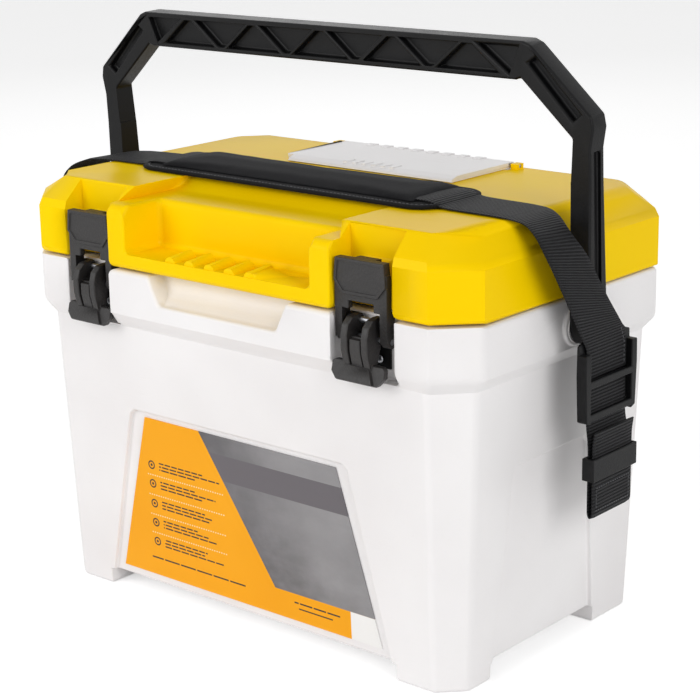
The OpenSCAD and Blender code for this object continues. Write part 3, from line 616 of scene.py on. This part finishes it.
lidBare = (  # round the finger ridges and the two lugs beside the hatch
    ((-49, -134.3, 272), (56, -111, 284)),
    ((-91, 98, 318.5), (-83, 108, 326)),
    ((83, 98, 318.5), (91, 108, 326)),
)
roundedNodes = [
    # node, finish, body, slot, rounding in mm, rounding of long blunt edges, boxes left sharp
    ("body_shell", "shellWhite", "tank", "shell_white", 4.0, 11.0),
    ("hinge_post", "shellWhite", "tank", "shell_white", 0.6),
    ("hinge_leaf", "shellWhite", "lid", "shell_white", 0.6),
    ("lid_shell", "lidYellow", "lid", "lid_yellow", 4.5, 11.0, lidBare),
    ("latch_brackets", "grainedBlack", "tank", "black_plastic", 0.4),
    ("latch_lever_left", "latchBlack", "lever_left", "black_plastic", 0.9),
    ("latch_lever_right", "latchBlack", "lever_right", "black_plastic", 0.9),
    ("latch_link_left", "latchBlack", "link_left", "black_plastic", 1.0),
    ("latch_link_right", "latchBlack", "link_right", "black_plastic", 1.0),
    ("handle", "grainedBlack", "handle", "black_plastic", 1.8),
    ("handle_bolts", "boltSteel", "tank", "steel", 0.6),
    ("strap_buckle", "grainedBlack", "tank", "black_plastic", 0.9),
    ("strap_keeper", "grainedBlack", "keeper", "black_plastic", 0.7),
    ("strap_hanger_left", "grainedBlack", "tank", "black_plastic", 0.8),
    ("aerator_door", "shellWhite", "door", "shell_white", 1.2),
]
for row in roundedNodes:
    roundedCopy(*row)
print("rounded pieces made:", len(roundedNodes))


class Maker:
    # a geometry tree with named inputs, run once on a mesh and turned into a plain mesh
    def __init__(self, name, inputs):
        self.tree = bpy.data.node_groups.new(name, "GeometryNodeTree")
        face = self.tree.interface
        face.new_socket("Geometry", in_out="INPUT", socket_type="NodeSocketGeometry")
        face.new_socket("Geometry", in_out="OUTPUT", socket_type="NodeSocketGeometry")
        self.keys = {}
        for key, value in inputs.items():
            socket = face.new_socket(key, in_out="INPUT", socket_type="NodeSocketFloat")
            socket.default_value = value
            self.keys[key] = socket.identifier
        self.graph = Graph(self.tree)
        self.start = self.tree.nodes.new("NodeGroupInput")
        self.end = self.tree.nodes.new("NodeGroupOutput")

    def give(self, key):
        return Wire(self.graph, self.start.outputs[key])

    def onPoints(self, shape, sockets):
        # a copy of the shape on each loose point, turned the way its point says
        g = self.graph
        asVector = {"data_type": "FLOAT_VECTOR"}
        facing = g.add("GeometryNodeInputNamedAttribute", asVector, {"Name": "facing"})
        running = g.add("GeometryNodeInputNamedAttribute", asVector, {"Name": "running"})
        axes = {"primary_axis": "Z", "secondary_axis": "X"}
        turn = g.add("FunctionNodeAxesToRotation", axes, {0: facing, 1: running})
        sockets = {"Points": self.give(0), "Instance": shape, "Rotation": turn, **sockets}
        return g.add("GeometryNodeInstanceOnPoints", {}, sockets)

    def finish(self, geometry, finish):
        real = self.graph.add("GeometryNodeRealizeInstances", {}, {0: geometry})
        painted = self.graph.add("GeometryNodeSetMaterial", {}, {"Geometry": real, "Material": finishes[finish]})
        self.graph.plug(self.end.inputs[0], painted)

    def run(self, name, base, finish, values):
        holder = bpy.data.objects.new(name, base)
        bpy.context.scene.collection.objects.link(holder)
        maker = holder.modifiers.new("maker", "NODES")
        maker.node_group = self.tree
        for key, value in values.items():
            maker[self.keys[key]] = value
        bpy.context.view_layer.update()
        ready = holder.evaluated_get(bpy.context.evaluated_depsgraph_get())
        mesh = bpy.data.meshes.new_from_object(ready)
        holder.modifiers.remove(maker)
        bpy.data.objects.remove(holder)
        mesh.name = name
        return newPiece(name, mesh, finish)


def pointCloud(name, rows):
    # loose points, each with the way its copy faces and the way its copy's length runs
    mesh = bpy.data.meshes.new(name)
    mesh.from_pydata([row[0] for row in rows], [], [])
    for key, index in (("facing", 1), ("running", 2)):
        layer = mesh.attributes.new(key, "FLOAT_VECTOR", "POINT")
        for i, row in enumerate(rows):
            layer.data[i].vector = row[index]
    return mesh


# in metres; each row of screws gives its own sizes for all but the cross
screwSizes = {"head": 0.0034, "height": 0.0014, "shank": 0.002, "length": 0.010, "cross": 0.0008}


def makeScrewTree(sizes):
    # domed head with a cross recess over a plain shank
    maker = Maker("screwHeads", sizes)
    g = maker.graph
    head, height, cross, length = (maker.give(key) for key in ("head", "height", "cross", "length"))
    ball = g.add("GeometryNodeMeshUVSphere", {}, {"Segments": 24, "Rings": 12, "Radius": head})
    dome = g.moved(ball, {"Scale": g.join(1.0, 1.0, height / head)})
    below = g.add("GeometryNodeMeshCube", {}, {"Size": g.join(head * 3, head * 3, height * 4)})
    below = g.moved(below, {"Translation": g.join(0.0, 0.0, height * -2)})
    arms = []
    for turn in (0.0, pi / 2):
        arm = g.add("GeometryNodeMeshCube", {}, {"Size": g.join(head * 1.15, cross, height)})
        arms.append(g.moved(arm, {"Translation": g.join(0.0, 0.0, height * 0.95), "Rotation": (0.0, 0.0, turn)}))
    cut = g.add("GeometryNodeMeshBoolean", {"operation": "DIFFERENCE", "solver": "EXACT"}, {"Mesh 1": dome})
    for tool in (below, *arms):
        g.plug(cut.socket.node.inputs["Mesh 2"], tool)
    shank = {"Vertices": 16, "Radius": maker.give("shank"), "Depth": length}
    shank = g.add("GeometryNodeMeshCylinder", {}, shank)
    shank = g.moved(shank, {"Translation": g.join(0.0, 0.0, length * -0.5)})
    screw = g.add("GeometryNodeJoinGeometry", {}, {0: cut})
    g.plug(screw.socket.node.inputs[0], shank)
    faceted = g.add("GeometryNodeSetShadeSmooth", {}, {"Geometry": screw, "Shade Smooth": False})
    maker.finish(maker.onPoints(faceted, {}), "zincSteel")
    return maker


screwTree = makeScrewTree(screwSizes)
upward, rearward, frontward = (0, 0, 1), (0, 1, 0), (0, -1, 0)
screwRows = {
    # node: body, head radius, head height, shank radius, length, the way the heads face, and their places
    "post_screws": ("tank", 3.2, 2.2, 2.0, 15, upward, [(x, 125.9, 266.05) for x in (-66, -22, 22, 66)]),
    "leaf_screws": ("lid", 3.6, 2.2, 2.0, 8, rearward, [(x, 111.25, 293) for x in (-60, -20, 20, 60)]),
    "bracket_screws": (
        "tank", 2.8, 1.2, 1.5, 6, frontward, [(x, -118.65, 232) for x in (-135.5, -123.5, 123.5, 135.5)],
    ),
}
for node, (body, head, height, shank, length, way, places) in screwRows.items():
    running = Vector((1, 0.3, 0)).normalized() if way is upward else Vector(upward)
    rows = [(at(*place), Vector(way), running) for place in places]
    sizes = {"head": head / 1000, "height": height / 1000, "shank": shank / 1000, "length": length / 1000}
    sizes["cross"] = screwSizes["cross"]
    piece = screwTree.run(node + "Cross", pointCloud(node + "Points", rows), "zincSteel", sizes)
    piece.data.shade_flat()
    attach(piece, body)
    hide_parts(node)
print("screws made")


# in mm: the webbing's middle line and section, the pad's ends and half width, and where the webbing hangs
strap = {
    "middle": -27.0, "width": 48.0, "thick": 1.8, "columns": 10,
    "pad": (-151.0, 133.0), "padWide": 37.0, "lidTop": 320.4, "web": 233.3,
}


def smoothRun(sections, steps):
    # passes a smooth curve through the front and the rear ends of the sections
    out = []
    last = len(sections) - 1
    for i in range(last):
        a, b = sections[max(i - 1, 0)], sections[i]
        c, d = sections[i + 1], sections[min(i + 2, last)]
        for k in range(steps):
            t = k / steps
            weights = (2 * t ** 3 - 3 * t ** 2 + 1, t ** 3 - 2 * t ** 2 + t, 3 * t ** 2 - 2 * t ** 3, t ** 3 - t ** 2)
            row = []
            for side in (0, 1):
                p0, p1, p2, p3 = a[side], b[side], c[side], d[side]
                # tangents follow the shorter neighbour, so tight bends don't overshoot
                m1 = m2 = p2 - p1
                reach = m1.length
                if i:
                    m1 = (p2 - p0).normalized() * min(reach, (p1 - p0).length or reach)
                if i + 2 <= last:
                    m2 = (p3 - p1).normalized() * min(reach, (p3 - p2).length or reach)
                row.append(weights[0] * p1 + weights[1] * m1 + weights[2] * p2 + weights[3] * m2)
            out.append(row)
    out.append([sections[last][0].copy(), sections[last][1].copy()])
    return out


def ribbon(name, sections, steps, outward):
    # flat webbing of real thickness with rounded selvages; its map is in metres across and along
    thick, columns = strap["thick"] / 1000, strap["columns"]
    rows = smoothRun([[at(*front), at(*rear)] for front, rear in sections], steps)
    middle = [(front + rear) / 2 for front, rear in rows]
    last = len(rows) - 1
    mesh = bpy.data.meshes.new(name)
    work = bmesh.new()
    mapping = work.loops.layers.uv.new("weave")
    rings, runs, run, sign = [], [], 0.0, 1.0
    for i, (front, rear) in enumerate(rows):
        across = rear - front
        wide = across.length
        face = (middle[min(i + 1, last)] - middle[max(i - 1, 0)]).cross(across).normalized()
        if i:
            run += (middle[i] - middle[i - 1]).length
        elif face.dot(Vector(outward)) < 0:
            sign = -1.0
        face *= sign
        ring = []
        for k in range(columns + 1):
            share = k / columns
            edge = min(share, 1 - share) * wide
            half = thick / 2 * min(1.0, 0.45 + edge / (thick * 1.4))
            spot = front + across * share
            ring.append((work.verts.new(spot + face * half), work.verts.new(spot - face * half), share * wide))
        rings.append(ring)
        runs.append(run)

    def addFace(corners):
        made = work.faces.new([vert for vert, u, v in corners])
        made.smooth = True
        for loop, (vert, u, v) in zip(made.loops, corners):
            loop[mapping].uv = (u, v)

    for i in range(last):
        v0, v1 = runs[i], runs[i + 1]
        for k in range(columns):
            a, b = rings[i][k], rings[i][k + 1]
            c, d = rings[i + 1][k + 1], rings[i + 1][k]
            addFace([(a[0], a[2], v0), (b[0], b[2], v0), (c[0], c[2], v1), (d[0], d[2], v1)])
            addFace([(a[1], a[2], v0), (d[1], d[2], v1), (c[1], c[2], v1), (b[1], b[2], v0)])
        for k in (0, columns):
            a, d = rings[i][k], rings[i + 1][k]
            addFace([(a[0], a[2], v0), (d[0], d[2], v1), (d[1], d[2], v1), (a[1], a[2], v0)])
    for i in (0, last):
        for k in range(columns):
            a, b = rings[i][k], rings[i][k + 1]
            addFace([(a[0], a[2], runs[i]), (b[0], b[2], runs[i]), (b[1], b[2], runs[i]), (a[1], a[2], runs[i])])
    bmesh.ops.recalc_face_normals(work, faces=work.faces)
    work.to_mesh(mesh)
    work.free()
    piece = newPiece(name, mesh, "ribbedWebbing")
    mesh.set_sharp_from_angle(angle=radians(60))
    return piece


def flat(x, z, y0, y1):
    # a section straight across the strap
    return ((x, y0, z), (x, y1, z))


def mirrored(sections):
    return [((-f[0], f[1], f[2]), (-r[0], r[1], r[2])) for f, r in sections]


strapFront, strapRear = strap["middle"] - strap["width"] / 2, strap["middle"] + strap["width"] / 2
lidLine, webLine = 321.3, strap["web"]
# sections are the webbing's front and rear ends
edgeStart = ((190, -53.0, lidLine), (190, -7.4, lidLine))
edgeLead = ((176, -51.4, lidLine), (176, -4.4, lidLine))
overEdge = [
    edgeStart,
    ((199, -55.2, lidLine - 0.2), (199, -12.4, lidLine - 0.3)),
    ((209, -57.9, 319.9), (209, -18.4, 318.6)),
    ((221, -63.4, 314.2), (221, -24.4, 311.2)),
    ((229.5, -64.6, 303), (232.3, -20.8, 296)),
    ((231.9, -49.8, 278), (233.3, -0.8, 268)),
    ((webLine, -26.8, 240), (webLine, 22.4, 240)),
    ((webLine, -21.8, 230.9), (webLine, 26.2, 230.9)),
]
rightLeg = overEdge + [flat(webLine, 212, -21.8, 26.2)]
# round the left plate's bar and back up, as (x, z)
turnedBack = [
    (webLine, 206), (webLine, 193), (232.7, 190.6), (231.1, 189.4), (229.5, 190.6),
    (228.9, 193), (228.9, 203), (230.3, 207), (231.6, 211),
]
leftLeg = mirrored(overEdge + [flat(x, z, -22, 26) for x, z in turnedBack])
# up on to the pad's base and through its sleeve, as (x, height over the lid)
overPad = [
    (-164, 0), (-152, 0.6), (-142, 3.4), (-128, 3.7), (0, 3.7), (112, 3.7), (124, 3.4), (134, 0.6), (148, 0),
]
acrossLid = mirrored([edgeStart, edgeLead])
acrossLid += [flat(x, lidLine + lift, strapFront, strapRear) for x, lift in overPad] + [edgeLead, edgeStart]
lidWebbing = ribbon("lidWebbing", acrossLid, 5, (0, 0, 1))
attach(lidWebbing, "lid")
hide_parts("strap_webbing")
legs = (("legRight", "strap_leg_right", rightLeg, 1), ("legLeft", "strap_leg_left", leftLeg, -1))
for name, node, sections, side in legs:
    leg = ribbon(name, sections, 7, (0, 0, 1))
    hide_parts(node)
    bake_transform(leg, "tank", "lid", start=at(side * 233, 0, 246), end=at(side * 214, 0, 318))

# the free end, folded back on itself at its foot
foldedEnd = [
    (0, 140), (0, 117), (0.6, 114.2), (1.8, 112.9), (3.1, 114.2), (3.6, 117), (3.6, 140), (3.7, 164), (5.0, 174),
]
tailRun = [
    flat(webLine, 209.8, -21.8, 26.2),
    flat(webLine, 196, -21.8, 26.2),
    flat(webLine, 180, -20.6, 26.6),
    flat(webLine, 163, -17.9, 30.1),
    *[flat(webLine + out, z, -17.9, 30.1) for out, z in foldedEnd],
]
strapTail = ribbon("strapTail", tailRun, 4, (1, 0, 0))
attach(strapTail, "tank")
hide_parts("strap_tail")
print("webbing made")


padShape = {
    "base": 3.0, "corner": 20, "sleeve": (-131.0, 117.0), "sleeveHalf": 31.0, "sleeveCorner": 5, "crown": 7.6,
    "spacing": 3.0, "voxel": 4.0, "puff": 2.6, "pressure": 4.0, "quality": 6, "frames": 20,
}


def roundOutline(x0, x1, y0, y1, radius, spacing):
    # closed outline with round corners, as points spaced about evenly
    points = []
    turns = (
        (x1 - radius, y1 - radius, 0), (x0 + radius, y1 - radius, 90),
        (x0 + radius, y0 + radius, 180), (x1 - radius, y0 + radius, 270),
    )
    for cx, cy, start in turns:
        steps = max(3, int(radius * pi / 2 / spacing))
        for i in range(steps + 1):
            turn = radians(start + 90 * i / steps)
            points.append((cx + radius * cos(turn), cy + radius * sin(turn)))
    out = []
    for i, a in enumerate(points):
        b = points[(i + 1) % len(points)]
        run = hypot(b[0] - a[0], b[1] - a[1])
        cuts = max(1, int(run / spacing))
        for k in range(cuts):
            out.append((a[0] + (b[0] - a[0]) * k / cuts, a[1] + (b[1] - a[1]) * k / cuts))
    return out


def layered(name, outline, profile, finish):
    # stacks inset rings of one outline: profile is (inset, height) from the underside round the edge to the top
    cx = sum(p[0] for p in outline) / len(outline)
    cy = sum(p[1] for p in outline) / len(outline)
    spanX = max(abs(p[0] - cx) for p in outline)
    spanY = max(abs(p[1] - cy) for p in outline)
    mesh = bpy.data.meshes.new(name)
    work = bmesh.new()
    rings = []
    for inset, height in profile:
        ring = []
        for x, y in outline:
            spot = at(cx + (x - cx) * (1 - inset / spanX), cy + (y - cy) * (1 - inset / spanY), height)
            ring.append(work.verts.new(spot))
        rings.append(ring)
    count = len(outline)
    for low, high in zip(rings, rings[1:]):
        for i in range(count):
            j = (i + 1) % count
            work.faces.new((low[i], low[j], high[j], high[i]))
    for ring in (rings[0], rings[-1]):
        work.faces.new(ring)
    bmesh.ops.recalc_face_normals(work, faces=work.faces)
    work.to_mesh(mesh)
    work.free()
    return newPiece(name, mesh, finish)


def makePadBase():
    # flat lined base with a bound edge; the webbing lies on it and the sleeve is sewn down along it
    x0, x1 = strap["pad"]
    mid, half, floor = strap["middle"], strap["padWide"], strap["lidTop"] + 0.1
    top = floor + padShape["base"]
    outline = roundOutline(x0, x1, mid - half, mid + half, padShape["corner"], padShape["spacing"])
    profile = [
        (6.0, floor), (1.2, floor + 0.1), (0.2, floor + 0.8), (0.0, floor + 1.5), (0.25, top - 0.6),
        (1.1, top), (2.6, top + 0.1), (4.2, top - 0.45), (4.8, top - 0.5), (5.6, top - 0.2),
        (9.0, top - 0.1), (16.0, top - 0.1), (30.0, top - 0.1),
    ]
    piece = layered("padBase", outline, profile, "padCloth")
    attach(piece, "lid")
    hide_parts("strap_pad")


def inflate(piece, look):
    # voxel remesh, a short pressure run with gravity off, and a cap on how far each point may go
    bpy.context.view_layer.objects.active = piece
    remesh = piece.modifiers.new("remesh", "REMESH")
    remesh.mode = "VOXEL"
    remesh.voxel_size = look["voxel"] / 1000
    ready = piece.evaluated_get(bpy.context.evaluated_depsgraph_get())
    mesh = bpy.data.meshes.new_from_object(ready)
    piece.modifiers.remove(remesh)
    piece.data = mesh
    before = [v.co.copy() for v in mesh.vertices]
    cloth = piece.modifiers.new("cloth", "CLOTH")
    cloth.settings.use_pressure = True
    cloth.settings.uniform_pressure_force = look["pressure"]
    cloth.settings.effector_weights.gravity = 0
    cloth.settings.quality = look["quality"]
    scene = bpy.context.scene
    for number in range(1, look["frames"] + 1):
        scene.frame_set(number)
    ready = piece.evaluated_get(bpy.context.evaluated_depsgraph_get())
    shaped = [v.co.copy() for v in ready.data.vertices]
    piece.modifiers.remove(cloth)
    scene.frame_set(1)
    cap = look["puff"] / 1000
    for vertex, old, new in zip(mesh.vertices, before, shaped):
        step = new - old
        if step.length > cap:
            step *= cap / step.length
        step.z = max(step.z, 0)
        vertex.co = old + step
    mesh.shade_smooth()


def makePadSleeve():
    # the padded sleeve over the webbing, held down along its two long seams
    x0, x1 = padShape["sleeve"]
    mid, half = strap["middle"], padShape["sleeveHalf"]
    floor = strap["lidTop"] + 0.1 + padShape["base"]
    crown = strap["lidTop"] + padShape["crown"]
    outline = roundOutline(x0, x1, mid - half, mid + half, padShape["sleeveCorner"], padShape["spacing"])
    profile = [
        (5.0, floor), (0.4, floor), (0.0, floor + 0.6), (0.4, floor + 1.3), (2.0, crown - 2.2),
        (5.0, crown - 1.2), (12.0, crown - 0.5), (22.0, crown - 0.2), (30.0, crown),
    ]
    piece = layered("padSleeve", outline, profile, "padCloth")
    inflate(piece, padShape)
    paint(piece, "padCloth")
    soften = piece.modifiers.new("soften", "SUBSURF")
    soften.levels = soften.render_levels = 1
    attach(piece, "lid")


makePadBase()
makePadSleeve()
print("pad made")


# one stitch in metres, then its rows in mm: spacing, distance from the pad's edge, and height off the webbing
sewing = {
    "stitch": {"length": 0.0026, "thick": 0.0004},
    "pitch": 3.4, "boxPitch": 2.8, "inset": 4.4, "padCorner": 16, "proud": 0.05,
}


def makeStitchTree(sizes):
    # one thread crossing for each point
    maker = Maker("stitches", sizes)
    g = maker.graph
    bar = g.add("GeometryNodeMeshUVSphere", {}, {"Segments": 8, "Rings": 6, "Radius": 0.5})
    size = g.join(maker.give("length"), maker.give("thick") * 2, maker.give("thick") * 2)
    maker.finish(maker.onPoints(bar, {"Scale": size}), "sewingThread")
    return maker


stitchTree = makeStitchTree(sewing["stitch"])


def stitchAlong(path, up, pitch):
    # evenly spaced points on a path, each with the way up there; path is in frame metres
    rows, left = [], 0.0
    step = pitch / 1000
    for a, b in zip(path, path[1:]):
        run = (b - a).length
        way = (b - a).normalized()
        while left < run:
            rows.append((a + way * left, up, way))
            left += step
        left -= run
    return rows


def sew(name, rows, body, length, thick):
    sizes = {"length": length, "thick": thick}
    piece = stitchTree.run(name + "Stitches", pointCloud(name + "StitchPoints", rows), "sewingThread", sizes)
    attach(piece, body)


def sewPad(look):
    # one row round the bound edge
    x0, x1 = strap["pad"]
    mid, half, top = strap["middle"], strap["padWide"], strap["lidTop"] + 0.1 + padShape["base"]
    inset = look["inset"]
    outline = roundOutline(x0 + inset, x1 - inset, mid - half + inset, mid + half - inset, look["padCorner"], 2.0)
    path = [at(x, y, top - 0.35) for x, y in outline]
    sew("pad", stitchAlong(path + path[:1], Vector(upward), look["pitch"]), "lid", 0.0025, 0.0004)


def sewTail(look):
    # a sewn box on the folded end
    out = webLine + 3.6 + strap["thick"] / 2 + look["proud"]
    box = [at(out, y, z) for y, z in ((-14, 118), (26, 118), (26, 134), (-14, 134), (-14, 118))]
    sew("tail", stitchAlong(box, Vector((1, 0, 0)), look["boxPitch"]), "tank", 0.0022, 0.00035)


def sewLegs(look):
    # the row down the rear edge above the buckle, and the box on the left turned end
    out = webLine + strap["thick"] / 2 + look["proud"]
    edge = [at(out, 18.8, 239), at(out, 22.6, 229), at(out, 22.9, 213)]
    box = [at(-out, y, z) for y, z in ((-18, 209), (22, 209), (22, 199), (-18, 199), (-18, 209), (22, 199))]
    rows = stitchAlong(edge, Vector((1, 0, 0)), look["pitch"])
    rows += stitchAlong(box, Vector((-1, 0, 0)), look["boxPitch"])
    sew("leg", rows, "tank", 0.0024, 0.0004)


sewPad(sewing)
sewTail(sewing)
sewLegs(sewing)
print("stitching made")


studio = {
    "floor": "#F7F7F7", "floorPale": "#FAFAFA", "floorReach": 6, "floorGlow": 0.45, "ambient": 0.38, "aim": (0, 0, 0.2),
    "lamps": [
        # place in metres, size, watts
        ((-0.9, -2.2, 1.1), 1.6, 26.0),
        ((2.4, -0.9, 1.2), 1.6, 28.0),
        ((0.2, -0.3, 2.6), 1.4, 3.0),
        ((-1.6, 1.8, 1.5), 1.4, 4.0),
    ],
}


def seenDirectly(g):
    # 1 where the camera, a reflection or a refraction looks, 0 for the light that falls on the object
    ray = g.add("ShaderNodeLightPath")
    return ray.most(ray.output("Is Glossy Ray")).most(ray.output("Is Transmission Ray"))


def makeFloor(look):
    reach = look["floorReach"]
    mesh = bpy.data.meshes.new("studioFloor")
    corners = [(-reach, -reach, 0), (reach, -reach, 0), (reach, reach, 0), (-reach, reach, 0)]
    mesh.from_pydata(corners, [], [(0, 1, 2, 3)])
    material, g = newFinish("studioFloor", Roughness=0.9, Emission_Strength=look["floorGlow"])
    g.plug(g.shader["Base Color"], g.mix(g.noise(g.place(), 3.0), ink(look["floor"]), ink(look["floorPale"])))
    g.plug(g.shader["Emission Color"], g.mix(seenDirectly(g), ink("#000000"), ink("#FFFFFF")))
    floor = bpy.data.objects.new("studioFloor", mesh)
    bpy.context.scene.collection.objects.link(floor)
    mesh.materials.append(material)


def makeWorld(look):
    world = bpy.data.worlds.new("studio")
    bpy.context.scene.world = world
    world.use_nodes = True
    g = Graph(world.node_tree)
    back = world.node_tree.nodes["Background"].inputs
    back["Color"].default_value = (1, 1, 1, 1)
    g.plug(back["Strength"], seenDirectly(g) * (1 - look["ambient"]) + look["ambient"])


def makeLamps(look):
    for i, (place, size, watts) in enumerate(look["lamps"]):
        data = bpy.data.lights.new("softLamp%d" % i, "AREA")
        data.shape = "DISK"
        data.size = size
        data.energy = watts
        lamp = bpy.data.objects.new("softLamp%d" % i, data)
        bpy.context.scene.collection.objects.link(lamp)
        lamp.location = place
        lamp.rotation_euler = (Vector(place) - Vector(look["aim"])).to_track_quat("Z", "Y").to_euler()


makeFloor(studio)
makeWorld(studio)
makeLamps(studio)
bpy.context.scene.view_settings.view_transform = "Standard"
print("studio made")
